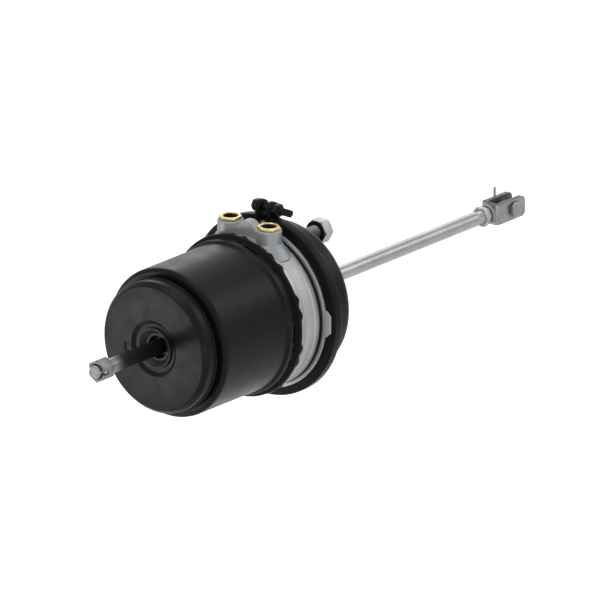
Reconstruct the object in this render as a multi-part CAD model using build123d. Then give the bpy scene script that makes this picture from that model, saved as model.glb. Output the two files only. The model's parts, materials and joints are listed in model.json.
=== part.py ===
from build123d import *
from math import atan2, cos, degrees, radians, sin, sqrt
import os

# Spring brake actuator for a truck or trailer axle: a parking chamber with a power spring behind
# a service chamber with a diaphragm, in millimetres. X runs along the push rod towards the clevis,
# Z is up through the ports, and the origin is on the mounting face at the centre of the studs.
# It is held with the parking spring wound back by its release bolt.

# ---- Main sizes --------------------------------------------------------------------------------
flange_r = 84.2             # outside of the flange, which both chambers are built round
service_r = flange_r - 0.8  # outside of the service chamber
parking_r = flange_r - 2.9  # outside of the parking chamber
lip_r = service_r + 8.2     # rim of both clamped lips
shell_t = 3.0               # pressed steel of both chambers

# ---- Service chamber -------------------------------------------------------------------------
service_corner_r = 11.0     # outside corner round at the mounting face
clamp_x = -40.5             # plane of the clamp ring and of the diaphragm's bead
bead_t = 3.0                # squeezed thickness of the diaphragm's bead
breather_r = 4.0            # breather holes in the mounting face
breather_circle_r = 42.0
breather_count = 4
lip_neck_len = 3.0          # from the lip's root to the barrel
lip_face_r = service_r - shell_t - 1.0  # inner edge of the lip's flat
lip_face_run = 4.0          # from there back to the bore
rod_opening_r = 24.0        # opening in the mounting face for the push rod

# ---- Mounting studs --------------------------------------------------------------------------
stud_spacing = 120.7
stud_angle = 85.4           # of the upper stud, from -Y towards +Z
stud_r = 8.0                # M16 x 1.5 shank that carries the bracket
stud_neck_r = 8.2           # pressed into the hole in the chamber
stud_thread_r = 7.85        # its rolled end, under the nut
stud_len = 48.0
stud_head_r = 11.5
stud_head_t = 4.0
stud_washer_x = 30.4
stud_washer_r = 12.5
stud_washer_t = 2.0
stud_nut_af = 24.0
stud_nut_h = 13.0

# ---- Clamp ring ------------------------------------------------------------------------------
clamp_t = 3.4
clamp_r = lip_r + 7.6       # outside of the crown
clamp_crown_w = 5.6
clamp_shoulder_r = lip_r + 3.4
clamp_shoulder_w = 11.0
clamp_foot_r = lip_r - 2.3
clamp_foot_w = 19.6
clamp_inner_shoulder_r = lip_r + 1.0
clamp_crown_corner_r = 1.5
clamp_lip_gap = 0.4         # ring's flank to the lips it squeezes
clamp_gap = 8.0             # split at the top, between the ears
clamp_split_y = 1.0
clamp_ear_t = 6.5
clamp_ear_r = 8.0
clamp_ear_root_z = clamp_r - 3.7
clamp_bolt_z = clamp_r + 7.0
clamp_bolt_r = 4.0          # M8
clamp_hole_r = 4.4
clamp_bolt_head_af = 12.0
clamp_bolt_head_h = 6.4
clamp_bolt_flange_r = 7.2   # flange under its head
clamp_bolt_flange_t = 1.5
clamp_bolt_len = 44.0
clamp_nut_af = 13.0
clamp_nut_h = 7.5

# ---- Flange between the chambers -------------------------------------------------------------
flange_rear_x = -100.5      # rear edge of its spigot, inside the crimp
flange_pilot_r = parking_r - shell_t - 0.3  # centres it in the bore of the parking chamber
flange_pilot_len = 5.6
flange_spigot_r = flange_pilot_r + 3.0
flange_rim_r = flange_r + 1.2  # rim that the crimp folds over
flange_rim_x = -91.4
flange_rim_w = 5.8
seal_ring_w = 2.2
flange_step_x = -63.5       # shallow turned line in the outside
flange_step_w = 1.4
flange_step_depth = 0.8
flange_groove_x = -56.5
flange_groove_w = 3.5
flange_groove_r = flange_r - 2.7
flange_lip_r = flange_r + 5.1  # thin outer lip beside the clamp ring
flange_lip_x = -50.6
flange_wall = 6.0
web_x = -84.0               # centre of the web that parts the two chambers
web_t = 8.0
hub_r = 30.0
hub_rear_x = -98.5
hub_seat_len = 14.2
web_root_r = 5.0            # round where the web meets the spigot's wall
cavity_floor_corner_r = 8.0
tube_hole_gap = 0.4         # thrust tube to the hole in the web
lug_half_w = 14.0           # locating lug on the lip, at the -Y side
lug_h = 6.2                 # above the lip
lug_corner = 4.0

# ---- Ports -----------------------------------------------------------------------------------
port_x = -70.3
port_spacing = 52.6
port_bore_r = 7.19          # minor diameter of M16 x 1.5
port_insert_r = 10.0
port_insert_len = 18.0
port_hex_af = 22.0
port_hex_h = 3.5
port_top_z = flange_r + 16.0
boss_top_z = port_top_z - port_hex_h
port_hex_turn = 30.0
boss_r = 14.0
boss_foot_r = 16.5
boss_foot_z = flange_r - 3.7
boss_base_z = flange_r - 14.2
bridge_r = 8.5              # rounded web between the two bosses
bridge_top_z = boss_top_z - 1.7
bridge_z = boss_top_z - 4.7
boss_root = 2.0             # how far the bosses reach into the flange's wall
boss_crimp_gap = 0.8        # cast clear of the crimp
boss_crimp_run = 0.4
passage_r = 3.5
cavity_mouth_r = flange_r - 4.0  # hollow in front of the web, where the diaphragm lies
cavity_throat_r = flange_r - 5.8
cavity_floor_inset = 18.2
cavity_floor_r = flange_r - cavity_floor_inset

# ---- Parking chamber -------------------------------------------------------------------------
cap_x = -226.0              # flat rear face
cap_r = parking_r - 9.3
cap_corner_r = 7.5
shoulder_r = 7.5            # round where the cap meets the barrel
cap_side_len = 16.5         # from the rear face to the groove
groove_w = 1.8
groove_depth = 2.0
ring_w = 1.4                # thin ring in front of the groove
ring_r = cap_r + 1.0
recess_rim_r = 31.0
recess_floor_r = 27.5
recess_depth = 5.0
recess_rim_round = 2.0
cap_bore_r = cap_r - 4.0
notch_len = 9.0             # pressed notch at the edge of the recess
notch_w = 10.0
notch_depth = 1.2
notch_z = -6.0

# ---- Crimp that holds the parking chamber on the flange --------------------------------------
crimp_x = -106.0            # start of the step up
crimp_step_len = 4.0
crimp_inner_shift = 1.0     # inner slope of the step, in front of the outer one
crimp_band_r = parking_r + 3.0
crimp_band_len = 8.0
crimp_bead_r = flange_rim_r + shell_t
crimp_front_x = -82.0
crimp_front_r = flange_r + 1.4
crimp_flange_gap = 0.4
crimp_bead_rise = 2.0       # run of the slope up to the bead
crimp_count = 30            # pressed dents round the front edge
crimp_dent_r = 7.0
crimp_dent_depth = 1.2
window_count = 5
window_x = -98.0
window_w = 4.2
window_len = 20.0

# ---- Parking piston and its spring -----------------------------------------------------------
bore_clear = 0.3            # piston to parking chamber
piston_front_x = -166.0     # pressure face, with the spring wound back
piston_rim_len = 20.0
piston_rim_t = 7.0
piston_web_t = 6.0
piston_hub_r = 24.0
piston_hub_len = 16.0
piston_land = 3.0           # land outside the seal and outside the guide ring
piston_rim_root_r = 4.0
piston_hub_root_r = 3.0
seal_w = 4.0
seal_h = 4.0
guide_ring_w = 6.0
guide_ring_t = 2.0
power_wire_r = 5.5
power_coil_r = cap_bore_r - 10.0
power_turns = 3.6

# ---- Thrust tube -----------------------------------------------------------------------------
tube_r = 17.0
tube_bore_r = 14.0
tube_front_x = -78.4
tube_plug_t = 5.6
tube_plug_flange = 3.5
tube_rear_x = -178.0
tube_shoulder_t = 4.0
tube_shoulder_r = 9.0
hub_bore_r = 20.0
tube_seal_w = 4.0
guide_bush_len = 8.0
guide_bush_inset = 1.0
running_gap = 0.05

# ---- Release bolt ----------------------------------------------------------------------------
release_r = 8.0             # M16 x 2
release_tail_x = -321.5
release_nut_x = -318.0
release_nut_h = 16.0
release_nut_af = 22.0
release_nut_turn = 30.0
release_head_r = 12.0
release_head_h = 11.0
release_washer_r = 13.0
release_washer_t = 3.0
release_pin_r = 2.0
release_pin_len = 20.0
release_pin_gap = 0.2       # to the floor of the slots
slot_w = 4.6                # slot across the nut for its pin
slot_depth = 7.0
bush_collar_r = 22.4
bush_collar_t = 4.5
bush_mouth_r = 20.5
bush_floor_r = 15.0
bush_mouth_depth = 6.0
bush_well_r = 12.4
bush_well_depth = 8.0
bush_body_r = 19.5
bush_len = 27.0
bush_edge_r = 0.8

# ---- Service diaphragm, push rod and its spring ----------------------------------------------
diaphragm_t = 3.0
diaphragm_floor_x = -77.8   # rear face of its floor, at rest
diaphragm_floor_inset = 6.0
diaphragm_floor_r = cavity_floor_r - diaphragm_floor_inset
diaphragm_knee = 6.0        # from the flange's groove to the bend in its side
diaphragm_wall_gap = 0.8    # to the flange's hollow
diaphragm_floor_round = 8.0
bead_edge_gap = 0.5         # its rim inside the rims of the lips
plate_inset = 5.0
plate_r = diaphragm_floor_r - plate_inset
plate_t = 3.5
plate_dish = 6.0
plate_bend_r = 4.0
plate_rim_thin = 1.0        # the dished rim is pressed thinner by this much
plate_gap = 0.1             # to the diaphragm
rod_r = 7.9
rod_thread_r = 7.8
return_wire_r = 2.4
return_coil_inset = 9.0
return_coil_r = plate_r - return_coil_inset
return_small_r = 33.0
return_turns = 3.5
coil_seat = 0.4              # from a spring's end turn to its seat
seal_plate_r = 30.0
seal_plate_t = 2.0
seal_lip_t = 5.0
seal_plate_bore_r = 10.9

# ---- Clevis ----------------------------------------------------------------------------------
clevis_x = 323.0
clevis_len = 46.0
rod_thread_len = 27.0
rod_grip = 4.0              # how far the rod screws into the clevis
rod_nut_back = 16.0         # rear face of the lock nut, behind the clevis
rod_nut_af = 20.0
rod_nut_h = 8.0
clevis_w = 23.0
clevis_h = 22.5
clevis_slot_w = 13.0
clevis_slot_floor = 5.0     # solid end behind the slot
clevis_end_chamfer = 5.5
clevis_edge_chamfer = 2.5
clevis_collar_r = 10.6
clevis_collar_len = 5.0
pin_back = 16.5             # pin's axis, behind the mouth of the slot
pin_r = 6.5
pin_gap = 0.06
pin_head_r = 8.6
pin_head_h = 5.0
pin_tail = 10.0
pin_side_gap = 0.3
cotter_at = 28.5            # from the clevis's -Y face
cotter_r = 1.4
cotter_leg = 18.6
cotter_eye_r = 2.8

FIT = 0.05                  # radial clearance of parts that screw or slide into each other
SEAT = 0.02                 # clearance of parts that are pressed together


def turned(*outline, rounds=()):
    """A solid of revolution about X from a closed outline of (x, r) corners.
    rounds lists (corner number, radius)."""
    face = make_face(Polyline(*outline, close=True)).face()
    for corner, radius in rounds:
        spot = Vector(*outline[corner])
        near = min(face.vertices(), key=lambda v: (Vector(*v) - spot).length)
        face = face.fillet_2d(radius, [near])
    return revolve(face, Axis.X, 360)


def bar(radius, x0, x1, y=0, z=0):
    """A round bar along X."""
    return extrude(Plane.YZ.offset(x0) * Pos(y, z) * Circle(radius), x1 - x0)


def ring(outer, inner, x0, x1, y=0, z=0):
    """A plain ring along X."""
    return bar(outer, x0, x1, y, z) - bar(inner, x0, x1, y, z)


def hex_bar(across_flats, x0, x1, y=0, z=0, turn=0):
    """A hexagonal bar along X, a corner towards +Y when turn is 0."""
    corner_r = across_flats / sqrt(3)
    outline = Plane.YZ.offset(x0) * Pos(y, z) * RegularPolygon(corner_r, 6, rotation=turn)
    return extrude(outline, x1 - x0)


def hex_nut(across_flats, hole_r, x0, x1, y=0, z=0, turn=0):
    """A hexagon nut along X with its corners turned off at both ends."""
    corner_r = across_flats / sqrt(3)
    cone = corner_r - across_flats / 2
    barrel = Pos(0, y, z) * turned(
        (x0, 0), (x0, across_flats / 2), (x0 + cone * 0.6, corner_r),
        (x1 - cone * 0.6, corner_r), (x1, across_flats / 2), (x1, 0))
    return (hex_bar(across_flats, x0, x1, y, z, turn) & barrel) - bar(hole_r, x0, x1, y, z)


def post(radius, z0, z1, x, y):
    """A round post along Z."""
    return extrude(Plane.XY.offset(z0) * Pos(x, y) * Circle(radius), z1 - z0)


def around(count, shape, start=0):
    """Copies of a shape spaced evenly about X."""
    return [Rot(start + i * 360 / count, 0, 0) * shape for i in range(count)]


def coil(radius, end_radius, wire, x0, x1, turns):
    """A spring along X that fills the space from x0 to x1. Its wire is drawn with eight sides."""
    height = x1 - x0 - 2 * wire
    flare = degrees(atan2(end_radius - radius, height))
    path = Helix(height / turns, height, radius, center=(x0 + wire, 0, 0), direction=(1, 0, 0),
                 cone_angle=flare)
    section = Plane(path @ 0, z_dir=path % 0) * RegularPolygon(wire, 8)
    return sweep(section, path, is_frenet=True)


# ---- Sections that several pieces share --------------------------------------------------------
flank_run = (clamp_foot_w - clamp_shoulder_w) / 2
flank_rise = clamp_shoulder_r - clamp_foot_r
flank_len = sqrt(flank_run ** 2 + flank_rise ** 2)
inner_foot = (clamp_foot_w / 2 - clamp_t * flank_rise / flank_len,
              clamp_foot_r - clamp_t * flank_run / flank_len)
lip_root_r = inner_foot[1] - 0.8


def inside_flank(radius):
    """Distance from the clamp plane to the inside of the clamp ring's flank at a radius."""
    return inner_foot[0] - (radius - inner_foot[1]) * flank_run / flank_rise


def clamped_lip(side):
    """Corners of the lip that the clamp ring squeezes, from its root out to the bead.
    side is -1 behind the clamp plane and 1 in front of it."""
    return [(clamp_x + side * (inside_flank(r) - clamp_lip_gap), r) for r in (lip_root_r, lip_r)] + [
        (clamp_x + side * bead_t / 2, lip_r)]


stud_spots = [(-turn * cos(radians(stud_angle)) * stud_spacing / 2,
               turn * sin(radians(stud_angle)) * stud_spacing / 2) for turn in (1, -1)]
service_bore_r = service_r - shell_t
parking_bore_r = parking_r - shell_t
recess_floor_x = cap_x + recess_depth
bush_rear_x = recess_floor_x - bush_collar_t
bush_floor_x = bush_rear_x + bush_mouth_depth
tube_plug_x = tube_front_x - tube_plug_t
release_washer_x = tube_rear_x + tube_shoulder_t + running_gap
release_head_x = release_washer_x + release_washer_t + running_gap
release_end_x = release_head_x + release_head_h
plate_x = diaphragm_floor_x + diaphragm_t + plate_gap
clevis_slot_x = clevis_x + clevis_slot_floor
pin_x = clevis_x + clevis_len - pin_back
rod_end_x = clevis_x + rod_grip
rod_thread_x = rod_end_x - rod_thread_len
rod_nut_x = clevis_x - rod_nut_back


# ---- Parking chamber ---------------------------------------------------------------------------
def spring_chamber_pot():
    groove_x = cap_x + cap_side_len
    ring_x = groove_x + groove_w
    shoulder_x = ring_x + ring_w + groove_w
    groove_r = cap_r - groove_depth
    band_x = crimp_x + crimp_step_len
    bead_x = band_x + crimp_band_len
    band_bore_r = crimp_band_r - shell_t
    rim_rear = flange_rim_x - FIT
    rim_front = flange_rim_x + flange_rim_w + FIT
    rim_bore_r = flange_rim_r + FIT
    shell = turned(
        (recess_floor_x, bush_body_r + SEAT),
        (recess_floor_x, recess_floor_r),
        (cap_x, recess_rim_r),
        (cap_x, cap_r),
        (groove_x, cap_r),
        (groove_x, groove_r),
        (ring_x, groove_r),
        (ring_x, ring_r),
        (ring_x + ring_w, ring_r),
        (ring_x + ring_w, groove_r),
        (shoulder_x, groove_r),
        (shoulder_x, parking_r),
        (crimp_x, parking_r),
        (band_x, crimp_band_r),
        (bead_x, crimp_band_r),
        (bead_x + crimp_bead_rise, crimp_bead_r),
        (rim_front, crimp_bead_r),
        (crimp_front_x, crimp_front_r),
        (crimp_front_x, flange_r + crimp_flange_gap),
        (rim_front, flange_r + crimp_flange_gap),
        (rim_front, rim_bore_r),
        (rim_rear, rim_bore_r),
        (bead_x, band_bore_r),
        (band_x + crimp_inner_shift, band_bore_r),
        (crimp_x + crimp_inner_shift, parking_bore_r),
        (shoulder_x + shell_t, parking_bore_r),
        (shoulder_x + shell_t, cap_bore_r),
        (cap_x + shell_t, cap_bore_r),
        (cap_x + shell_t, recess_rim_r + shell_t),
        (recess_floor_x + shell_t, recess_floor_r + shell_t),
        (recess_floor_x + shell_t, bush_body_r + SEAT),
        rounds=((2, recess_rim_round), (3, cap_corner_r), (11, shoulder_r),
                (25, shoulder_r - shell_t), (27, cap_corner_r - shell_t)))
    window = Pos(window_x, -crimp_band_r, 0) * Box(window_w, 3 * shell_t, window_len)
    dent_at = crimp_bead_r + crimp_dent_r - crimp_dent_depth
    dent = bar(crimp_dent_r, rim_rear + shell_t, crimp_front_x + 1, -dent_at, 0)
    notch = Pos(cap_x, recess_rim_r + notch_len / 2, notch_z) * Box(2 * notch_depth, notch_len, notch_w)
    cuts = around(window_count, window) + around(crimp_count, dent, 180 / crimp_count)
    return shell - cuts - notch


def release_bolt_bush():
    well_x = bush_floor_x + bush_well_depth
    return turned(
        (bush_rear_x, bush_mouth_r),
        (bush_rear_x, bush_collar_r),
        (recess_floor_x, bush_collar_r),
        (recess_floor_x, bush_body_r),
        (bush_rear_x + bush_len, bush_body_r),
        (bush_rear_x + bush_len, release_r + FIT),
        (well_x, release_r + FIT),
        (well_x, bush_well_r),
        (bush_floor_x, bush_well_r),
        (bush_floor_x, bush_floor_r),
        rounds=((1, bush_edge_r),))


# ---- Flange between the chambers ---------------------------------------------------------------
def intermediate_flange():
    front_x = clamp_x - bead_t / 2
    floor_x = web_x + web_t / 2
    rear_x = web_x - web_t / 2
    pilot_x = flange_rear_x - flange_pilot_len
    seat_x = hub_rear_x + hub_seat_len
    root, rim, bead = clamped_lip(-1)
    casting = turned(
        (floor_x, tube_r + tube_hole_gap),
        (seat_x, tube_r + tube_hole_gap),
        (seat_x, hub_bore_r),
        (hub_rear_x, hub_bore_r),
        (hub_rear_x, hub_r),
        (rear_x, hub_r),
        (rear_x, flange_pilot_r - flange_wall),
        (pilot_x, flange_pilot_r - flange_wall),
        (pilot_x, flange_pilot_r),
        (flange_rear_x, flange_pilot_r),
        (flange_rear_x, flange_spigot_r),
        (flange_rim_x, flange_spigot_r),
        (flange_rim_x, flange_rim_r),
        (flange_rim_x + flange_rim_w, flange_rim_r),
        (flange_rim_x + flange_rim_w, flange_r),
        (flange_step_x, flange_r),
        (flange_step_x, flange_r - flange_step_depth),
        (flange_step_x + flange_step_w, flange_r - flange_step_depth),
        (flange_step_x + flange_step_w, flange_r),
        (flange_groove_x, flange_r),
        (flange_groove_x, flange_groove_r),
        (flange_groove_x + flange_groove_w, flange_groove_r),
        (flange_groove_x + flange_groove_w, flange_lip_r),
        (flange_lip_x, flange_lip_r),
        (flange_lip_x, lip_root_r),
        root, rim, bead,
        (front_x, cavity_mouth_r),
        (flange_groove_x, cavity_throat_r),
        (floor_x, cavity_floor_r),
        rounds=((6, web_root_r), (30, cavity_floor_corner_r)))
    lug_x = flange_groove_x + flange_groove_w
    lug_r = flange_lip_r + lug_h
    lug = Pos((lug_x + flange_lip_x) / 2, -(lug_r + flange_r) / 2, 0) * Box(
        flange_lip_x - lug_x, lug_r - flange_r, 2 * lug_half_w)
    lug = chamfer(lug.edges().filter_by(Axis.X).group_by(Axis.Y)[0], lug_corner)
    tower = post(bridge_r, boss_base_z, bridge_top_z, port_x, 0) + Pos(
        port_x, 0, (boss_base_z + bridge_z) / 2) * Box(
            1.5 * bridge_r, port_spacing, bridge_z - boss_base_z)
    for y in (-port_spacing / 2, port_spacing / 2):
        tower += post(boss_foot_r, boss_base_z, boss_foot_z, port_x, y)
        tower += post(boss_r, boss_base_z, boss_top_z, port_x, y)
    tower -= bar(flange_r - boss_root, port_x - 2 * boss_r, port_x + 2 * boss_r)
    tower -= bar(crimp_bead_r + boss_crimp_gap, port_x - 2 * boss_r, crimp_front_x + boss_crimp_run)
    casting += tower
    casting += lug
    for y in (-port_spacing / 2, port_spacing / 2):
        casting -= post(port_insert_r + FIT, boss_top_z - port_insert_len, boss_top_z, port_x, y)
    inside = cavity_floor_r - 2 * passage_r
    casting -= post(passage_r, inside, boss_top_z, port_x, -port_spacing / 2)
    slant = Line((port_x, port_spacing / 2, boss_top_z - port_insert_len),
                 (rear_x - 2 * passage_r, port_spacing / 2, inside))
    casting -= sweep(Plane(slant @ 0, z_dir=slant % 0) * Circle(passage_r), slant)
    return casting


def port_insert(y):
    """A brass insert with a hexagon collar and a bore tapped for an air fitting."""
    hex_r = port_hex_af / sqrt(3)
    collar = extrude(Plane.XY.offset(boss_top_z) * Pos(port_x, y)
                     * RegularPolygon(hex_r, 6, rotation=port_hex_turn), port_hex_h)
    shank = post(port_insert_r, boss_top_z - port_insert_len, boss_top_z, port_x, y)
    return collar + shank - post(port_bore_r, 0, port_top_z + 1, port_x, y)


def flange_seal_ring():
    """Square-section ring in the corner between the flange and the step of the crimp."""
    rear_x = flange_rear_x - seal_ring_w
    step_rise = crimp_band_r - parking_r
    outer = parking_bore_r + (rear_x - crimp_x - crimp_inner_shift) * step_rise / crimp_step_len - FIT
    return ring(outer, flange_pilot_r + SEAT, rear_x, flange_rear_x - SEAT)


# ---- Parking piston, thrust tube and power spring ----------------------------------------------
def spring_piston():
    rim_r = parking_bore_r - bore_clear
    rear_x = piston_front_x - piston_rim_len
    web_rear_x = piston_front_x - piston_web_t
    seal_x = piston_front_x - piston_land
    guide_x = rear_x + piston_land
    return turned(
        (piston_front_x, tube_r + SEAT),
        (piston_front_x, rim_r),
        (seal_x, rim_r),
        (seal_x, rim_r - seal_h),
        (seal_x - seal_w, rim_r - seal_h),
        (seal_x - seal_w, rim_r),
        (guide_x + guide_ring_w, rim_r),
        (guide_x + guide_ring_w, rim_r - guide_ring_t),
        (guide_x, rim_r - guide_ring_t),
        (guide_x, rim_r),
        (rear_x, rim_r),
        (rear_x, rim_r - piston_rim_t),
        (web_rear_x, rim_r - piston_rim_t),
        (web_rear_x, piston_hub_r),
        (piston_front_x - piston_hub_len, piston_hub_r),
        (piston_front_x - piston_hub_len, tube_r + SEAT),
        rounds=((12, piston_rim_root_r), (13, piston_hub_root_r)))


def piston_seal():
    rim_r = parking_bore_r - bore_clear
    x1 = piston_front_x - piston_land - FIT
    return ring(parking_bore_r - FIT, rim_r - seal_h + FIT, x1 - seal_w + 2 * FIT, x1)


def piston_guide_ring():
    rim_r = parking_bore_r - bore_clear
    x0 = piston_front_x - piston_rim_len + piston_land + FIT
    return ring(parking_bore_r - FIT, rim_r - guide_ring_t + FIT, x0, x0 + guide_ring_w - 2 * FIT)


def thrust_tube():
    shoulder_x = tube_rear_x + tube_shoulder_t
    face_x = tube_front_x - tube_plug_flange
    return turned(
        (tube_rear_x, tube_shoulder_r), (tube_rear_x, tube_r), (face_x, tube_r),
        (face_x, tube_bore_r), (shoulder_x, tube_bore_r), (shoulder_x, tube_shoulder_r))


def thrust_tube_plug():
    face_x = tube_front_x - tube_plug_flange
    return bar(tube_r, face_x, tube_front_x) + bar(tube_bore_r - SEAT, tube_plug_x, face_x)


def power_spring():
    return coil(power_coil_r, power_coil_r, power_wire_r, cap_x + shell_t + coil_seat,
                piston_front_x - piston_web_t - coil_seat, power_turns)


def tube_guide_bush():
    x0 = hub_rear_x + guide_bush_inset
    return ring(hub_bore_r - SEAT, tube_r + running_gap, x0, x0 + guide_bush_len)


def tube_seal():
    x1 = hub_rear_x + hub_seat_len - FIT
    return ring(hub_bore_r - SEAT, tube_r + running_gap, x1 - tube_seal_w, x1)


# ---- Service chamber ---------------------------------------------------------------------------
def service_diaphragm():
    back, front = clamp_x - bead_t / 2, clamp_x + bead_t / 2
    side_x = flange_groove_x + diaphragm_knee
    side_r = cavity_throat_r - diaphragm_wall_gap
    mouth_r = cavity_mouth_r - diaphragm_wall_gap
    return turned(
        (diaphragm_floor_x, 0),
        (diaphragm_floor_x, diaphragm_floor_r + diaphragm_t),
        (side_x, side_r),
        (back + SEAT, mouth_r),
        (back + SEAT, lip_r - bead_edge_gap),
        (front - SEAT, lip_r - bead_edge_gap),
        (front - SEAT, mouth_r - diaphragm_t),
        (side_x, side_r - diaphragm_t),
        (diaphragm_floor_x + diaphragm_t, diaphragm_floor_r),
        (diaphragm_floor_x + diaphragm_t, 0),
        rounds=((1, diaphragm_floor_round), (8, diaphragm_floor_round - diaphragm_t)))


def service_chamber_pot():
    root, rim, bead = clamped_lip(1)
    outer_x = root[0] + lip_neck_len
    bore_x = clamp_x + bead_t / 2
    shell = turned(
        (bore_x, lip_face_r),
        bead, rim, root,
        (outer_x, service_r),
        (0, service_r),
        (0, rod_opening_r),
        (-shell_t, rod_opening_r),
        (-shell_t, service_bore_r),
        (bore_x + lip_face_run, service_bore_r),
        rounds=((5, service_corner_r), (8, service_corner_r - shell_t)))
    holes = [bar(stud_neck_r + SEAT, -shell_t - 1, 1, y, z) for y, z in stud_spots]
    breather = bar(breather_r, -shell_t - 1, 1, breather_circle_r, 0)
    return shell - holes - around(breather_count, breather, 45)


def clamp_ring():
    half_foot, half_shoulder, half_crown = clamp_foot_w / 2, clamp_shoulder_w / 2, clamp_crown_w / 2
    outside = [(-half_foot, clamp_foot_r), (-half_shoulder, clamp_shoulder_r), (-half_crown, clamp_r)]
    inside = [(-inner_foot[0], inner_foot[1]),
              (-inside_flank(clamp_inner_shoulder_r), clamp_inner_shoulder_r),
              (-half_crown + clamp_t / 6, clamp_r - clamp_t)]
    corners = outside + [(-x, r) for x, r in reversed(outside)] + [(-x, r) for x, r in inside] + [
        (x, r) for x, r in reversed(inside)]
    band = turned(*[(clamp_x + x, r) for x, r in corners],
                  rounds=((2, clamp_crown_corner_r), (3, clamp_crown_corner_r)))
    band -= Pos(clamp_x, clamp_split_y, clamp_r) * Box(clamp_foot_w + 2, clamp_gap, clamp_r / 2)
    for side in (-1, 1):
        y = clamp_split_y + side * (clamp_gap + clamp_ear_t) / 2
        neck = Pos(clamp_x, y, (clamp_bolt_z + clamp_ear_root_z) / 2) * Box(
            2 * clamp_ear_r, clamp_ear_t, clamp_bolt_z - clamp_ear_root_z)
        head = Pos(clamp_x, y, clamp_bolt_z) * Rot(90, 0, 0) * Cylinder(clamp_ear_r, clamp_ear_t)
        band += neck + head
    return band - Pos(clamp_x, 0, clamp_bolt_z) * Rot(90, 0, 0) * Cylinder(clamp_hole_r, clamp_r)


def across_clamp(shape):
    """Turns a piece made along X so that it runs along -Y through the clamp ring's ears."""
    head_y = clamp_split_y + clamp_gap / 2 + clamp_ear_t + FIT
    return Pos(clamp_x, head_y, clamp_bolt_z) * Rot(0, 0, -90) * shape


def clamp_bolt():
    head = hex_bar(clamp_bolt_head_af, -clamp_bolt_head_h, 0)
    head += bar(clamp_bolt_flange_r, -clamp_bolt_flange_t, 0)
    return across_clamp(head + bar(clamp_bolt_r, 0, clamp_bolt_len))


def clamp_nut():
    x0 = 2 * clamp_ear_t + clamp_gap + 2 * FIT
    return across_clamp(hex_nut(clamp_nut_af, clamp_bolt_r + FIT, x0, x0 + clamp_nut_h))


def mounting_studs():
    return [bar(stud_head_r, -shell_t - stud_head_t, -shell_t, y, z) + bar(stud_neck_r, -shell_t, 0, y, z)
            + bar(stud_r, 0, stud_washer_x, y, z) + bar(stud_thread_r, stud_washer_x, stud_len, y, z)
            for y, z in stud_spots]


def stud_washers():
    x1 = stud_washer_x + stud_washer_t
    return [ring(stud_washer_r, stud_thread_r + FIT, stud_washer_x, x1, y, z) for y, z in stud_spots]


def stud_nuts():
    x0 = stud_washer_x + stud_washer_t
    return [hex_nut(stud_nut_af, stud_thread_r + FIT, x0, x0 + stud_nut_h, y, z) for y, z in stud_spots]


def rod_seal():
    return ring(rod_opening_r - FIT, rod_r + running_gap, -shell_t, seal_lip_t - shell_t)


def rod_seal_retainer():
    x1 = -shell_t - SEAT
    return ring(seal_plate_r, seal_plate_bore_r, x1 - seal_plate_t, x1)


# ---- Push rod and clevis -----------------------------------------------------------------------
def push_plate():
    back, front = plate_x, plate_x + plate_t
    rim_t = plate_t - plate_rim_thin
    return turned(
        (back, 0), (back, plate_r - plate_dish), (back + plate_dish, plate_r),
        (front + plate_dish, plate_r), (front + plate_dish, plate_r - rim_t),
        (front, plate_r - plate_dish - rim_t), (front, 0),
        rounds=((1, plate_bend_r),))


def push_rod():
    return bar(rod_r, plate_x + plate_t, rod_thread_x) + bar(rod_thread_r, rod_thread_x, rod_end_x)


def rod_lock_nut():
    return hex_nut(rod_nut_af, rod_thread_r + FIT, rod_nut_x, rod_nut_x + rod_nut_h)


def return_spring():
    return coil(return_coil_r, return_small_r, return_wire_r, plate_x + plate_t + coil_seat,
                -shell_t - coil_seat, return_turns)


def clevis():
    end_x = clevis_x + clevis_len
    block = Pos((clevis_x + end_x) / 2, 0, 0) * Box(clevis_len, clevis_w, clevis_h)
    block = chamfer(block.edges().filter_by(Axis.Y).group_by(Axis.X)[-1], clevis_end_chamfer)
    block = chamfer(block.edges().filter_by(Axis.Z).group_by(Axis.X)[0], clevis_edge_chamfer)
    block += bar(clevis_collar_r, clevis_x - clevis_collar_len, clevis_x)
    slot_len = end_x - clevis_slot_x + 1
    block -= Pos(clevis_slot_x + slot_len / 2, 0, 0) * Box(slot_len, clevis_slot_w, clevis_h + 2)
    block -= bar(rod_thread_r + FIT, clevis_x - clevis_collar_len, clevis_slot_x)
    return block - Pos(pin_x, 0, 0) * Rot(90, 0, 0) * Cylinder(pin_r + pin_gap, clevis_w + 2)


def across_clevis(shape):
    """Turns a piece made along X so that it runs along Y from the clevis's -Y face."""
    return Pos(pin_x, -clevis_w / 2, 0) * Rot(0, 0, 90) * shape


def clevis_pin():
    end = clevis_w + pin_tail
    head = bar(pin_head_r, -pin_head_h - pin_side_gap, -pin_side_gap)
    hole = Pos(cotter_at, 0, 0) * Cylinder(cotter_r + FIT, 3 * pin_r)
    return across_clevis(head + bar(pin_r, -pin_side_gap, end) - hole)


def cotter_pin():
    foot = -pin_r - cotter_r
    leg = Pos(cotter_at, 0, (cotter_leg + foot) / 2) * Cylinder(cotter_r, cotter_leg - foot)
    eye = Pos(cotter_at, 0, foot - cotter_eye_r) * Rot(0, 90, 0) * Torus(cotter_eye_r, 0.9 * cotter_r)
    return across_clevis(leg + eye)


# ---- Release bolt ------------------------------------------------------------------------------
def release_bolt():
    shank = bar(release_r, release_tail_x, release_head_x)
    head = bar(release_head_r, release_head_x, release_end_x)
    return shank + head - release_nut_pin()


def release_thrust_washer():
    return ring(release_washer_r, release_r + running_gap, release_washer_x,
                release_washer_x + release_washer_t)


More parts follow.
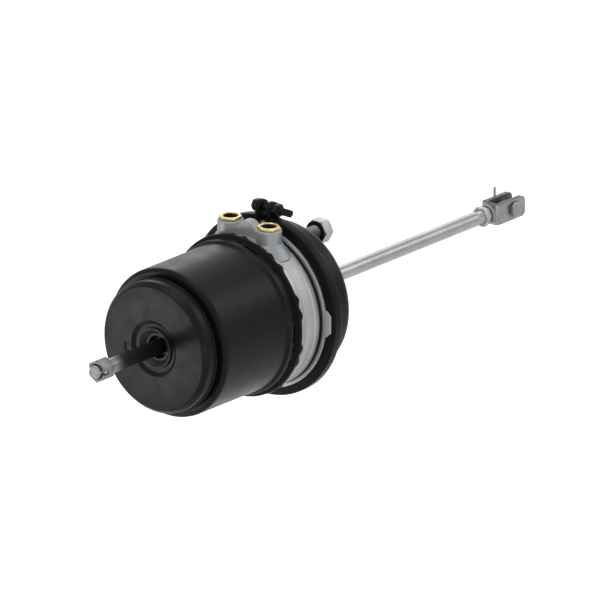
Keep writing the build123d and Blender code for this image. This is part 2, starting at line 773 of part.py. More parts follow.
def release_nut():
    x0, x1 = release_nut_x, release_nut_x + release_nut_h
    nut = hex_nut(release_nut_af, release_r + SEAT, x0, x1, turn=release_nut_turn)
    return nut - Pos(x0 + slot_depth / 2, 0, 0) * Box(slot_depth, 2 * release_nut_af, slot_w)


def release_nut_pin():
    x = release_nut_x + slot_depth - release_pin_r - release_pin_gap
    return Pos(x, 0, 0) * Rot(90, 0, 0) * Cylinder(release_pin_r, release_pin_len)


NODES = {
    "spring_chamber_pot": spring_chamber_pot(),
    "release_bolt_bush": release_bolt_bush(),
    "intermediate_flange": intermediate_flange(),
    "spring_port_insert": port_insert(port_spacing / 2),
    "service_port_insert": port_insert(-port_spacing / 2),
    "flange_seal_ring": flange_seal_ring(),
    "spring_piston": spring_piston(),
    "piston_seal": piston_seal(),
    "piston_guide_ring": piston_guide_ring(),
    "thrust_tube": thrust_tube(),
    "thrust_tube_plug": thrust_tube_plug(),
    "power_spring": power_spring(),
    "tube_guide_bush": tube_guide_bush(),
    "tube_seal": tube_seal(),
    "service_diaphragm": service_diaphragm(),
    "service_chamber_pot": service_chamber_pot(),
    "clamp_ring": clamp_ring(),
    "clamp_bolt": clamp_bolt(),
    "clamp_nut": clamp_nut(),
    "mounting_studs": mounting_studs(),
    "stud_washers": stud_washers(),
    "stud_nuts": stud_nuts(),
    "rod_seal": rod_seal(),
    "rod_seal_retainer": rod_seal_retainer(),
    "push_plate": push_plate(),
    "push_rod": push_rod(),
    "rod_lock_nut": rod_lock_nut(),
    "clevis": clevis(),
    "return_spring": return_spring(),
    "clevis_pin": clevis_pin(),
    "cotter_pin": cotter_pin(),
    "release_thrust_washer": release_thrust_washer(),
    "release_bolt": release_bolt(),
    "release_nut": release_nut(),
    "release_nut_pin": release_nut_pin(),
}

os.makedirs("parts", exist_ok=True)
for name, shape in NODES.items():
    solids = shape if isinstance(shape, list) else shape.solids()
    export_step(Compound(children=list(solids), label=name), f"parts/{name}.step")
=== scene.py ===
import json
import math

import bmesh
import bpy
from mathutils import Matrix, Vector

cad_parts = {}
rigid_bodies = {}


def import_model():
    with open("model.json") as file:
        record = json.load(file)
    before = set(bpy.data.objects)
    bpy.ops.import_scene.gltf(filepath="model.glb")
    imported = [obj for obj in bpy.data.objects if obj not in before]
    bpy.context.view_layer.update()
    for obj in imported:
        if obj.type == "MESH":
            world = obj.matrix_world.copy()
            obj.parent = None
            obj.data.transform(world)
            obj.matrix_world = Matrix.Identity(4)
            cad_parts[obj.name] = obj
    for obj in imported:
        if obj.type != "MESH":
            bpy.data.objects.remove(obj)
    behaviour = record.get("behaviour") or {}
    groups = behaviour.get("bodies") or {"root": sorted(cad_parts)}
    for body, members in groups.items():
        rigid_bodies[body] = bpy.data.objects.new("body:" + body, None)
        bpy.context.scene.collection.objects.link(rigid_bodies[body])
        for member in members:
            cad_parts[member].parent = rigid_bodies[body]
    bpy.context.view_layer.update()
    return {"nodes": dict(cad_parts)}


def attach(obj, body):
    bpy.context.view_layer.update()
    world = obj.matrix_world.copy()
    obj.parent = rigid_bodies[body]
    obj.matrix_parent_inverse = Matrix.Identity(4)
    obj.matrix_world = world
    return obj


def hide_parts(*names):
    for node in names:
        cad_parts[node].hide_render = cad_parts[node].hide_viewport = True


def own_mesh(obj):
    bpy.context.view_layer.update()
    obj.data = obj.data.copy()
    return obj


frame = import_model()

# The visible pieces of a spring brake actuator. Lengths are millimetres along the row's axes: X along
# the push rod from the mounting face, Z up through the air ports.
MM = 0.001
FULL_TURN = 2 * math.pi
MERGE = 0.004 * MM          # vertices this near each other are one
THREAD_STEPS = 28           # of a screw thread, in one turn
nodes = frame["nodes"]

# ---- camera: far away and long, so that the view is nearly parallel ------------------------------
AZIMUTH = math.radians(49.86)
ELEVATION = math.radians(19.87)
CAMERA_DISTANCE = 28.948
AIM_RIGHT, AIM_DOWN = 0.00761, 0.00778
right = Vector((math.cos(AZIMUTH), -math.sin(AZIMUTH), 0))
forward = Vector((math.sin(AZIMUTH) * math.cos(ELEVATION), math.cos(AZIMUTH) * math.cos(ELEVATION),
                  -math.sin(ELEVATION)))
up = right.cross(forward)
aim = right * AIM_RIGHT - up * AIM_DOWN
lens = bpy.data.cameras.new("long_lens")
lens.sensor_width = 36
lens.lens = 1650
lens.clip_start = 1
lens.clip_end = 200
camera = bpy.data.objects.new("camera", lens)
camera.matrix_world = (Matrix.Translation(aim - forward * CAMERA_DISTANCE)
                       @ Matrix((right, up, -forward)).transposed().to_4x4())
bpy.context.collection.objects.link(camera)
bpy.context.scene.camera = camera
bpy.context.scene.view_settings.view_transform = "Standard"


# ---- the workbench: selecting, turning, cutting and joining --------------------------------------
def take(*pieces):
    """Selects these objects alone, the first as the active one."""
    bpy.ops.object.select_all(action="DESELECT")
    for piece in pieces:
        piece.select_set(True)
    bpy.context.view_layer.objects.active = pieces[0]
    return pieces[0]


def open_mesh(piece, mode="VERT"):
    take(piece)
    bpy.ops.object.mode_set(mode="EDIT")
    bpy.ops.mesh.select_mode(type=mode)
    bpy.ops.mesh.select_all(action="SELECT")


def close_mesh():
    bpy.ops.object.mode_set(mode="OBJECT")


def pick(piece, kind, wanted):
    """Selects the vertices or faces of the open mesh that wanted(centre in mm, normal) is true for."""
    bpy.ops.mesh.select_mode(type=kind)
    bpy.ops.mesh.select_all(action="DESELECT")
    mesh = bmesh.from_edit_mesh(piece.data)
    if kind == "VERT":
        for vert in mesh.verts:
            vert.select = wanted(vert.co / MM, vert.normal)
    else:
        for face in mesh.faces:
            face.select = wanted(face.calc_center_median() / MM, face.normal)
    mesh.select_flush_mode()
    bmesh.update_edit_mesh(piece.data)


def pick_edges(piece, wanted):
    """Selects the edges of the open mesh that wanted(middle in mm, direction) is true for."""
    bpy.ops.mesh.select_mode(type="EDGE")
    bpy.ops.mesh.select_all(action="DESELECT")
    mesh = bmesh.from_edit_mesh(piece.data)
    for edge in mesh.edges:
        a, b = (vert.co / MM for vert in edge.verts)
        edge.select = wanted((a + b) / 2, (b - a).normalized())
    mesh.select_flush_mode()
    bmesh.update_edit_mesh(piece.data)


def turn_piece(outline, steps=144, closed=True):
    """A turned piece. The outline's corners, (x, radius) or (x, radius, round) in millimetres, are drawn
    by extruding one vertex, rounded, and spun about X."""
    bpy.ops.object.select_all(action="DESELECT")
    bpy.ops.mesh.primitive_plane_add(size=MM)
    piece = bpy.context.active_object
    open_mesh(piece)
    bpy.ops.mesh.merge(type="CENTER")
    corners = [Vector((corner[0], 0, corner[1])) for corner in outline]
    bpy.ops.transform.translate(value=corners[0] * MM)
    for here, there in zip(corners, corners[1:]):
        bpy.ops.mesh.extrude_region_move(TRANSFORM_OT_translate={"value": (there - here) * MM})
    if closed:
        pick(piece, "VERT", lambda c, n: (c - corners[0]).length < 1e-4 or (c - corners[-1]).length < 1e-4)
        bpy.ops.mesh.edge_face_add()
    count = len(outline)
    for i, corner in enumerate(outline):
        if len(corner) < 3 or not corner[2]:
            continue
        before = (corners[i - 1] - corners[i]).normalized()
        after = (corners[(i + 1) % count] - corners[i]).normalized()
        half = before.angle(after) / 2
        pick(piece, "VERT", lambda c, n: (c - corners[i]).length < 1e-4)
        segments = 3 if corner[2] < 1 else 6 if corner[2] < 4 else 10
        bpy.ops.mesh.bevel(offset=corner[2] / math.tan(half) * MM, offset_type="OFFSET",
                           segments=segments, affect="VERTICES")
    bpy.ops.mesh.select_all(action="SELECT")
    bpy.ops.mesh.spin(steps=steps, angle=FULL_TURN, center=(0, 0, 0), axis=(1, 0, 0))
    bpy.ops.mesh.select_all(action="SELECT")
    bpy.ops.mesh.remove_doubles(threshold=MERGE)
    bpy.ops.mesh.normals_make_consistent(inside=False)
    close_mesh()
    return piece


def place(piece, move=(0, 0, 0), turn=(0, 0, 0)):
    """Puts a piece in its place, in millimetres and degrees, with its object at the origin."""
    take(piece)
    piece.rotation_euler = [math.radians(a) for a in turn]
    piece.location = Vector(move) * MM
    bpy.ops.object.transform_apply(location=True, rotation=True, scale=True)
    return piece


def block(low, high, edge=0.0, segments=3):
    """A block between two corners in millimetres, with its edges rounded."""
    bpy.ops.object.select_all(action="DESELECT")
    middle = (Vector(low) + Vector(high)) / 2
    bpy.ops.mesh.primitive_cube_add(size=MM, location=middle * MM)
    piece = bpy.context.active_object
    piece.scale = Vector(high) - Vector(low)
    bpy.ops.object.transform_apply(location=True, rotation=True, scale=True)
    if edge:
        open_mesh(piece, "EDGE")
        bpy.ops.mesh.bevel(offset=edge * MM, segments=segments, affect="EDGES")
        close_mesh()
    return piece


def rod(radius, start, end, sides=48, edge=0.0):
    """A round rod between two points in millimetres, with its ends chamfered."""
    bpy.ops.object.select_all(action="DESELECT")
    start, end = Vector(start), Vector(end)
    run = end - start
    bpy.ops.mesh.primitive_cylinder_add(vertices=sides, radius=radius * MM, depth=run.length * MM)
    piece = bpy.context.active_object
    if edge:
        open_mesh(piece, "FACE")
        pick(piece, "FACE", lambda c, n: abs(n.z) > 0.9)
        bpy.ops.mesh.bevel(offset=edge * MM, segments=2, affect="EDGES")
        close_mesh()
    piece.rotation_euler = run.to_track_quat("Z", "Y").to_euler()
    piece.location = (start + end) / 2 * MM
    take(piece)
    bpy.ops.object.transform_apply(location=True, rotation=True, scale=True)
    return piece


def shape_with(piece, kind, **settings):
    """Adds a modifier to a piece and applies it."""
    take(piece)
    bpy.ops.object.modifier_add(type=kind)
    modifier = piece.modifiers[-1]
    for key, value in settings.items():
        setattr(modifier, key, value)
    bpy.ops.object.modifier_apply(modifier=modifier.name)
    return piece


def cut(piece, *tools, operation="DIFFERENCE"):
    """Cuts tools out of a piece, or keeps what they share, and throws the tools away."""
    for tool in tools:
        shape_with(piece, "BOOLEAN", operation=operation, object=tool, solver="EXACT")
        bpy.data.objects.remove(tool)
    return piece


def duplicate(piece):
    take(piece)
    bpy.ops.object.duplicate(linked=False)
    return bpy.context.active_object


def join(*pieces):
    take(*pieces)
    bpy.ops.object.join()
    return pieces[0]


def soften(piece, width, segments=2, angle=35):
    """Breaks the sharp edges of a piece."""
    return shape_with(piece, "BEVEL", width=width * MM, segments=segments, limit_method="ANGLE",
                      angle_limit=math.radians(angle), harden_normals=False)


def wind_thread(x0, x1, root, crest, pitch):
    """The ridge of a screw thread along X: a three-sided loop wound with the Screw modifier."""
    bpy.ops.object.select_all(action="DESELECT")
    bpy.ops.mesh.primitive_circle_add(vertices=3, radius=MM)
    piece = bpy.context.active_object
    open_mesh(piece)
    mesh = bmesh.from_edit_mesh(piece.data)
    half = 0.44 * pitch         # of the ridge's width at its root
    for vert, corner in zip(mesh.verts, ((x0, root), (x0 + 2 * half, root), (x0 + half, crest))):
        vert.co = Vector((corner[0], 0, corner[1])) * MM
    bmesh.update_edit_mesh(piece.data)
    close_mesh()
    turns = int((x1 - x0) / pitch) - 1
    shape_with(piece, "SCREW", axis="X", angle=FULL_TURN, screw_offset=pitch * MM, iterations=turns,
               steps=THREAD_STEPS, render_steps=THREAD_STEPS, use_merge_vertices=True,
               merge_threshold=MERGE / 2)
    open_mesh(piece)
    bpy.ops.mesh.fill_holes(sides=0)
    bpy.ops.mesh.select_all(action="SELECT")
    bpy.ops.mesh.normals_make_consistent(inside=False)
    close_mesh()
    return piece


def hexagon(across_flats, x0, x1, bore, chamfered=(True, True), turn=0, bore_edge=0.6):
    """A hexagon nut along X: a six-sided bar kept inside a turned barrel, which takes the corners off
    the ends that are chamfered."""
    corner = across_flats / math.sqrt(3)
    flat = across_flats / 2
    rise = (corner - flat) * 0.62       # a chamfer of about 25 degrees
    bpy.ops.object.select_all(action="DESELECT")
    bpy.ops.mesh.primitive_cylinder_add(vertices=6, radius=corner * MM, depth=(x1 - x0 + 2) * MM)
    bar = bpy.context.active_object
    place(bar, ((x0 + x1) / 2, 0, 0), (0, 90, 0))
    place(bar, turn=(turn, 0, 0))
    near, far = [(x0, corner + 0.2)], [(x1, corner + 0.2)]
    if chamfered[0]:
        near = [(x0, flat * 0.97), (x0 + rise, corner + 0.2)]
    if chamfered[1]:
        far = [(x1 - rise, corner + 0.2), (x1, flat * 0.97)]
    if bore:
        barrel = turn_piece([(x0, bore + bore_edge)] + near + far + [
            (x1, bore + bore_edge), (x1 - bore_edge, bore), (x0 + bore_edge, bore)], steps=96)
    else:
        barrel = turn_piece([(x0, 0)] + near + far + [(x1, 0)], steps=96, closed=False)
    cut(bar, barrel, operation="INTERSECT")
    return soften(bar, 0.22, 2, 28)


# ---- finishes ------------------------------------------------------------------------------------
class Finish:
    """A material under work: its shader, and noises on Object coordinates that feed it."""

    def __init__(self, name, metallic=0.0, specular=0.5):
        self.material = bpy.data.materials.new(name)
        self.material.use_nodes = True
        self.tree = self.material.node_tree
        self.shader = self.tree.nodes["Principled BSDF"]
        self.shader.inputs["Metallic"].default_value = metallic
        self.shader.inputs["Specular IOR Level"].default_value = specular
        self.place = self.tree.nodes.new("ShaderNodeTexCoord").outputs["Object"]
        self.relief = None

    def node(self, kind, **inputs):
        node = self.tree.nodes.new(kind)
        for key, value in inputs.items():
            socket = node.inputs[key.replace("_", " ")]
            if hasattr(value, "is_output"):
                self.tree.links.new(value, socket)
            else:
                socket.default_value = value
        return node

    def noise(self, scale, detail=2.0, stretch=(1, 1, 1), roughness=0.5):
        """Grain of about 1/scale metres, stretched along an axis where its factor is small."""
        place = self.node("ShaderNodeMapping", Vector=self.place, Scale=stretch).outputs["Vector"]
        return self.node("ShaderNodeTexNoise", Vector=place, Scale=scale, Detail=detail,
                         Roughness=roughness).outputs["Fac"]

    def spread(self, value, low, high, start=0.3, end=0.7):
        """Maps a noise to a range of plain numbers."""
        node = self.node("ShaderNodeMapRange", Value=value)
        for key, number in zip((1, 2, 3, 4), (start, end, low, high)):
            node.inputs[key].default_value = number
        return node.outputs["Result"]

    def tint(self, value, dark, light, start=0.3, end=0.7):
        """Maps a noise to a colour between two."""
        ramp = self.tree.nodes.new("ShaderNodeValToRGB")
        ramp.color_ramp.elements[0].position = start
        ramp.color_ramp.elements[0].color = (*dark, 1)
        ramp.color_ramp.elements[1].position = end
        ramp.color_ramp.elements[1].color = (*light, 1)
        self.tree.links.new(value, ramp.inputs["Fac"])
        return ramp.outputs["Color"]

    def over(self, below, above, amount):
        """Lays one colour over another where amount is high."""
        mix = self.tree.nodes.new("ShaderNodeMix")
        mix.data_type = "RGBA"
        for socket, value in ((mix.inputs[0], amount), (mix.inputs[6], below), (mix.inputs[7], above)):
            if hasattr(value, "is_output"):
                self.tree.links.new(value, socket)
            else:
                socket.default_value = (*value, 1)
        return mix.outputs[2]

    def color(self, value):
        self.tree.links.new(value, self.shader.inputs["Base Color"])

    def rough(self, value):
        self.tree.links.new(value, self.shader.inputs["Roughness"])

    def emboss(self, value, depth, strength=1.0):
        """Adds a relief, depth in millimetres, on top of the ones before it."""
        bump = self.node("ShaderNodeBump", Height=value, Strength=strength, Distance=depth * MM)
        if self.relief:
            self.tree.links.new(self.relief, bump.inputs["Normal"])
        self.relief = bump.outputs["Normal"]
        self.tree.links.new(self.relief, self.shader.inputs["Normal"])


def enamel(name, dark, light, roughness, specular=0.3, peel=0.05):
    """Sprayed black paint: faint cloudiness, orange peel, and fine dust that dulls it."""
    f = Finish(name, 0.0, specular)
    clouds = f.noise(11, 3)
    dust = f.noise(1600, 2)
    colour = f.tint(clouds, dark, light)
    f.color(f.over(colour, [v * 2.1 for v in light], f.spread(dust, 0, 0.35, 0.66, 0.74)))
    f.rough(f.spread(f.noise(70, 4), roughness - 0.05, roughness + 0.06))
    f.emboss(f.noise(420, 2), peel)
    f.emboss(dust, 0.008)
    return f.material


def cast_metal(name, dark, light, roughness, metallic):
    """Sand-cast and blasted aluminium: fine grain, shallow pits and a few darker flow marks."""
    f = Finish(name, metallic, 0.4)
    f.color(f.over(f.tint(f.noise(26, 4), dark, light), [v * 0.8 for v in dark],
                   f.spread(f.noise(700, 3), 0, 0.5, 0.62, 0.75)))
    f.rough(f.spread(f.noise(300, 3), roughness - 0.06, roughness + 0.08))
    f.emboss(f.noise(900, 4, roughness=0.65), 0.12)
    f.emboss(f.noise(120, 2), 0.15)
    return f.material


def turned_metal(name, dark, light, roughness, metallic, lines=0.03, spacing=1400, across=10):
    """Metal turned about X: fine rings that the tool left, and a little tarnish."""
    f = Finish(name, metallic, 0.4)
    rings = f.noise(1, 3, (spacing, across, across))
    f.color(f.over(f.tint(f.noise(38, 4), dark, light), [v * 0.82 for v in dark],
                   f.spread(rings, 0, 0.45, 0.5, 0.75)))
    f.rough(f.spread(rings, roughness - 0.05, roughness + 0.08))
    f.emboss(rings, lines)
    return f.material


def plated(name, dark, light, roughness, metallic=0.85, specular=0.5):
    """Plated or blackened steel: a faint spangle, cloudy passivation and small scuffs."""
    f = Finish(name, metallic, specular)
    f.color(f.over(f.tint(f.noise(90, 4), dark, light), [v * 0.75 for v in dark],
                   f.spread(f.noise(900, 2), 0, 0.4, 0.6, 0.72)))
    f.rough(f.spread(f.noise(220, 3), roughness - 0.07, roughness + 0.09))
    f.emboss(f.noise(1500, 2), 0.02)
    f.emboss(f.noise(160, 2), 0.05)
    return f.material


def moulded(name, dark, light, roughness):
    """Moulded rubber or plastic: even, with a fine matt grain."""
    f = Finish(name, 0.0, 0.35)
    f.color(f.tint(f.noise(60, 3), dark, light))
    f.rough(f.spread(f.noise(500, 2), roughness - 0.06, roughness + 0.06))
    f.emboss(f.noise(1300, 2), 0.03)
    return f.material


def two_tone_steel(name, black, bare, start, end):
    """A blackened bolt whose end is bare: the tone changes softly from x = start to x = end, in metres."""
    f = Finish(name, 0.0, 0.3)
    along = f.node("ShaderNodeSeparateXYZ", Vector=f.place).outputs["X"]
    bare_part = f.spread(along, 1, 0, start, end)
    metal = f.tint(f.noise(1, 3, (900, 30, 30)), [v * 0.8 for v in bare], bare)
    f.color(f.over(f.tint(f.noise(90, 3), [v * 0.7 for v in black], black), metal, bare_part))
    f.tree.links.new(f.spread(bare_part, 0, 0.8, 0, 1), f.shader.inputs["Metallic"])
    f.rough(f.spread(f.noise(260, 3), 0.3, 0.42))
    f.emboss(f.noise(1, 3, (900, 20, 20)), 0.02)
    return f.material


POT_PAINT = enamel("pot_paint", (0.0095, 0.0097, 0.0101), (0.013, 0.0132, 0.0137), 0.33, 0.11)
CRIMP_PAINT = enamel("crimp_paint", (0.004, 0.004, 0.0043), (0.008, 0.008, 0.0085), 0.5, 0.08, 0.12)
CLAMP_PAINT = enamel("clamp_paint", (0.008, 0.0082, 0.0086), (0.0115, 0.0118, 0.0123), 0.38, 0.09, 0.07)
BLACK_STEEL = plated("blackened_steel", (0.008, 0.008, 0.0085), (0.014, 0.014, 0.015), 0.42, 0.0, 0.15)
BUSH_STEEL = plated("bush_steel", (0.018, 0.018, 0.0185), (0.03, 0.03, 0.031), 0.42, 0.0, 0.25)
CASTING = cast_metal("blasted_aluminium", (0.37, 0.386, 0.402), (0.48, 0.495, 0.51), 0.48, 0.4)
TURNED_CASTING = turned_metal("turned_aluminium", (0.56, 0.575, 0.59), (0.66, 0.67, 0.68), 0.42, 0.35)
# Painted shade: a near-black cast finish for the groove behind the flange's clamped lip.
GROOVE_SHADE = cast_metal("groove_painted_shade", (0.03, 0.03, 0.03), (0.045, 0.045, 0.045), 0.6, 0.1)
BRASS = turned_metal("turned_brass", (0.62, 0.47, 0.20), (0.78, 0.62, 0.30), 0.3, 0.85)
ROD_STEEL = turned_metal("drawn_steel", (0.30, 0.303, 0.298), (0.38, 0.383, 0.378), 0.32, 0.75, 0.02, 700)
PLAIN_STEEL = turned_metal("plain_steel", (0.36, 0.36, 0.36), (0.46, 0.46, 0.46), 0.38, 0.9)
ZINC = plated("zinc_plate", (0.36, 0.366, 0.357), (0.46, 0.465, 0.456), 0.4, 0.65)
CLEVIS_ZINC = plated("forged_zinc", (0.24, 0.244, 0.24), (0.32, 0.324, 0.317), 0.42, 0.75)
NUT_ZINC = plated("nut_zinc", (0.25, 0.254, 0.248), (0.33, 0.334, 0.326), 0.42, 0.6)
# Painted shade: a darker copy of the zinc for the faces of the release bolt and its nut that look toward -X.
END_FACE_SHADE_ZINC = plated("end_face_painted_shade", (0.19, 0.193, 0.188), (0.25, 0.253, 0.247), 0.48, 0.6)
# Painted shade: a darker zinc for the faces inside the clevis fork's slot.
SLOT_SHADE_ZINC = plated("slot_painted_shade", (0.07, 0.07, 0.07), (0.1, 0.1, 0.1), 0.5, 0.6)
STUD_STEEL = plated("phosphated_steel", (0.16, 0.166, 0.18), (0.23, 0.237, 0.255), 0.42)
RELEASE_STEEL = two_tone_steel("release_bolt_steel", (0.016, 0.016, 0.0155), (0.30, 0.303, 0.295),
                               -0.293, -0.280)
BORE_BRASS = turned_metal("shaded_brass", (0.012, 0.009, 0.004), (0.02, 0.015, 0.007), 0.6, 0.2)
SPRING_STEEL = enamel("spring_coating", (0.05, 0.054, 0.06), (0.07, 0.074, 0.082), 0.4)
RUBBER = moulded("moulded_rubber", (0.018, 0.018, 0.018), (0.028, 0.028, 0.028), 0.62)
BEARING_PLASTIC = moulded("bearing_plastic", (0.68, 0.67, 0.61), (0.78, 0.77, 0.71), 0.5)


def radius(c):
    """Distance of a point from the X axis, on which the chambers turn."""
    return math.hypot(c.y, c.z)


def finish_piece(piece, name, body, finish, replaced=(), smooth=32, second=None, where=None):
    """Names and paints a finished piece, shades it, and hangs it on its body. A second finish goes on
    the faces that where(centre in mm, normal) is true for."""
    take(piece)
    bpy.ops.object.shade_smooth_by_angle(angle=math.radians(smooth))
    piece.name = name
    piece.data.name = name
    piece.data.materials.clear()
    piece.data.materials.append(finish)
    if second:
        piece.data.materials.append(second)
        for face in piece.data.polygons:
            face.material_index = int(where(face.center / MM, face.normal))
    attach(piece, body)
    if replaced:
        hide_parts(*replaced)
    return piece


# ---- parking chamber: pressed pot, crimped over the flange ---------------------------------------
FLANGE_R = 83.9             # of the flange's rim
PARKING_R = 81.3
CAP_X = -226.0
CRIMP_X = -106.0
BEAD_R = 88.4
WINDOW_COUNT = 5


def parking_pot():
    """The pressed pot, with the lumps and windows of its crimp and the small notch in its cap."""
    pot = turn_piece([
        (-223, 19.52), (-223, 26.8, 1.0), (CAP_X, 30.6, 1.2), (CAP_X, 67.6, 2.6), (-221.2, 72, 2.6),
        (-211.4, 72), (-211.2, 73.2, 0.7), (-208.9, 73.2, 0.7), (-208.7, 70), (-204.5, 70),
        (-204.5, 77.2, 1.2), (-202.5, 80.8, 1.8), (-199.5, 81.3, 1), (CRIMP_X, PARKING_R, 1.0),
        (-103.2, 84.3, 1.0), (-97.4, 84.3), (-94.6, 84.3, 0.8), (-92.6, BEAD_R, 1.2), (-88.8, BEAD_R, 1.6),
        (-86.6, 85.2, 0.4), (-86.6, 84.2), (-91.45, 84.2), (-94, 81.3), (-101, 81.3),
        (-105, 78.3), (-201.5, 78.3, 4.5), (-201.5, 68), (-223, 68, 4.5), (-223, 34), (-220, 30.5),
        (-220, 19.52)], steps=288)
    open_mesh(pot)

    def off_lump(c):
        """Degrees from the middle of the nearest lump. The lumps sit in ten pairs, 11 degrees apart."""
        return abs(abs(math.degrees(math.atan2(c.z, c.y)) % 36 - 18) - 5.5)

    # degrees to each side, growth of the radius, millimetres along X
    for reach, swell, push in ((1.0, 1.001, 0.5), (1.9, 1.003, 0.7), (2.8, 1.003, 0.6), (3.8, 1.002, 0.4)):
        pick(pot, "VERT", lambda c, n: c.x > -91 and radius(c) > 85.0 and off_lump(c) < reach)
        bpy.ops.transform.resize(value=(1, swell, swell), center_override=(0, 0, 0))
        pick(pot, "VERT", lambda c, n: c.x > -90 and radius(c) > 85.0 and off_lump(c) < reach)
        bpy.ops.transform.translate(value=(push * MM, 0, 0))
    for reach in (1.4, 2.7):
        pick(pot, "VERT", lambda c, n: -96.2 < c.x < -93.5 and radius(c) > 84.0 and off_lump(c) < reach)
        bpy.ops.transform.resize(value=(1, 0.9945, 0.9945), center_override=(0, 0, 0))
    close_mesh()
    for i in range(WINDOW_COUNT):
        window = block((-100.1, -88, -10), (-95.9, -80, 10), 0.9)
        cut(pot, place(window, turn=(i * 360 / WINDOW_COUNT, 0, 0)))
    notch = block((CAP_X - 1, 31, -11), (CAP_X + 1.2, 40, -1), 0.5)
    cut(pot, notch)
    finish_piece(pot, "parking_pot", "chamber", POT_PAINT, ["spring_chamber_pot"],
                 second=CRIMP_PAINT, where=lambda c, n: c.x > -95.4)


def release_bush():
    bush = turn_piece([
        (-225.5, 20.5, 0.4), (-225.5, 22.4, 0.8), (-221, 22.4, 0.3), (-221, 19.5), (-198.5, 19.5, 0.5),
        (-198.5, 8.6), (-199, 8.05), (-211.5, 8.05), (-211.5, 12.4), (-219.5, 12.4, 0.4), (-219.5, 15.0)],
        steps=96)
    finish_piece(bush, "release_bush", "chamber", BUSH_STEEL, ["release_bolt_bush"])


# ---- flange between the chambers -----------------------------------------------------------------
PORT_X = -70.3
PORT_Y = 26.3
BOSS_TOP = 96.7
BOSS_R = 14
INSERT_R = 10
THREAD_R = 8.1              # of the insert's bore, under its thread
FOOT_TOP = 80.6
HUMP_BACK_X, HUMP_FRONT_X = -76.3, -64.5
HUMP_R = 12.8
HUMP_Z = 88.3
ROOT_Z = 72                 # under the flange's rim, where the bosses start
VOXEL = 0.75 * MM


def flange_ring():
    """The turned body of the flange, with its groove, its clamped lip and the lug on the lip."""
    ring = turn_piece([
        (-80, 17.4), (-84.3, 17.4), (-84.3, 20), (-98.5, 20), (-98.5, 30, 1.0), (-88, 30), (-88, 72, 5),
        (-106.1, 72), (-106.1, 78), (-100.5, 78), (-100.5, 81), (-91.4, 81), (-91.4, FLANGE_R),
        (-79.2, FLANGE_R, 0.2), (-79.2, FLANGE_R - 0.35), (-78.6, FLANGE_R - 0.35), (-78.6, FLANGE_R, 0.2),
        (-65.2, FLANGE_R, 0.3), (-61.8, 84.8, 0.3), (-57, 84.8, 0.5), (-56.5, 81.5, 0.4), (-51.4, 81.5, 0.3),
        (-51.4, 85.3), (-53, 85.3, 0.2), (-53, 89.3, 0.5), (-50.6, 89.3, 0.5), (-50.6, 85.67), (-49.06, 85.67),
        (-45.87, 91.6), (-42, 91.6), (-42, 80.2), (-56.5, 78.4), (-80, 66, 8)], steps=240)
    lug = block((-53, -95.5, -14.4), (-50.6, -86, 14.4))
    open_mesh(lug, "EDGE")
    pick_edges(lug, lambda m, d: abs(d.x) > 0.9 and m.y < -90)
    bpy.ops.mesh.bevel(offset=5 * MM, segments=1, affect="EDGES")
    pick(lug, "FACE", lambda c, n: n.x < -0.9)
    bpy.ops.mesh.bevel(offset=0.4 * MM, segments=2, affect="EDGES")
    close_mesh()
    cut(ring, lug, operation="UNION")
    # The groove's faces behind the lip get the second finish, painted shade.
    finish_piece(ring, "flange_ring", "chamber", TURNED_CASTING, ["intermediate_flange"],
                 second=GROOVE_SHADE, where=lambda c, n: -56.6 < c.x < -51.2 and radius(c) < 85.4)


def port_tower():
    """The two bosses on their flared feet and the round hump between them, one casting with soft roots."""
    parts = [rod(HUMP_R, (HUMP_BACK_X, 0, HUMP_Z), (HUMP_FRONT_X, 0, HUMP_Z), 64),
             block((HUMP_BACK_X, -HUMP_R, 70), (HUMP_FRONT_X, HUMP_R, HUMP_Z))]
    for y in (-PORT_Y, PORT_Y):
        parts.append(rod(BOSS_R, (PORT_X, y, ROOT_Z), (PORT_X, y, BOSS_TOP), 64, 0.5))
        parts.append(rod(15.8, (PORT_X, y, ROOT_Z), (PORT_X, y, FOOT_TOP), 64, 0.4))
        bpy.ops.object.select_all(action="DESELECT")
        bpy.ops.mesh.primitive_cone_add(vertices=64, radius1=26 * MM, radius2=15.4 * MM, depth=12 * MM)
        parts.append(place(bpy.context.active_object, (PORT_X, y, 73.5)))
    tower = join(*parts)
    shape_with(tower, "REMESH", mode="VOXEL", voxel_size=VOXEL)
    shape_with(tower, "SMOOTH", factor=0.5, iterations=7)
    body = rod(FLANGE_R - 1.6, (PORT_X - 30, 0, 0), (PORT_X + 30, 0, 0), 200)
    crimp = rod(BEAD_R + 1.5, (PORT_X - 30, 0, 0), (-84.4, 0, 0), 200)
    front = block((-54.8, -60, 60), (-30, 60, 110))
    cut(tower, body, crimp, front)
    for y in (-PORT_Y, PORT_Y):
        cut(tower, rod(INSERT_R + 0.05, (PORT_X, y, 78.7), (PORT_X, y, 99)))
    finish_piece(tower, "port_tower", "chamber", CASTING, smooth=60)


def port_insert(name, node, y):
    insert = hexagon(22, 0.55, 3.5, THREAD_R, (False, True), 30, 1.0)
    shank = turn_piece([(-18, THREAD_R), (-18, INSERT_R), (0.2, INSERT_R), (0.2, THREAD_R)], steps=64)
    thread = wind_thread(-17.6, 3.6, 8.15, 7.2, 1.5)
    insert = join(insert, shank, thread)
    place(insert, turn=(0, -90, 0))
    place(insert, (PORT_X, y, BOSS_TOP))
    finish_piece(insert, name, "chamber", BRASS, [node], second=BORE_BRASS,
                 where=lambda c, n: math.hypot(c.x - PORT_X, c.y - y) < 8.3 and c.z < BOSS_TOP + 2.6)


# ---- service chamber and clamp ring --------------------------------------------------------------
CLAMP_X = -40.5
CLAMP_SCREW_Z = 106.2
STUD_SPOTS = ((-4.840, 60.156), (4.840, -60.156))


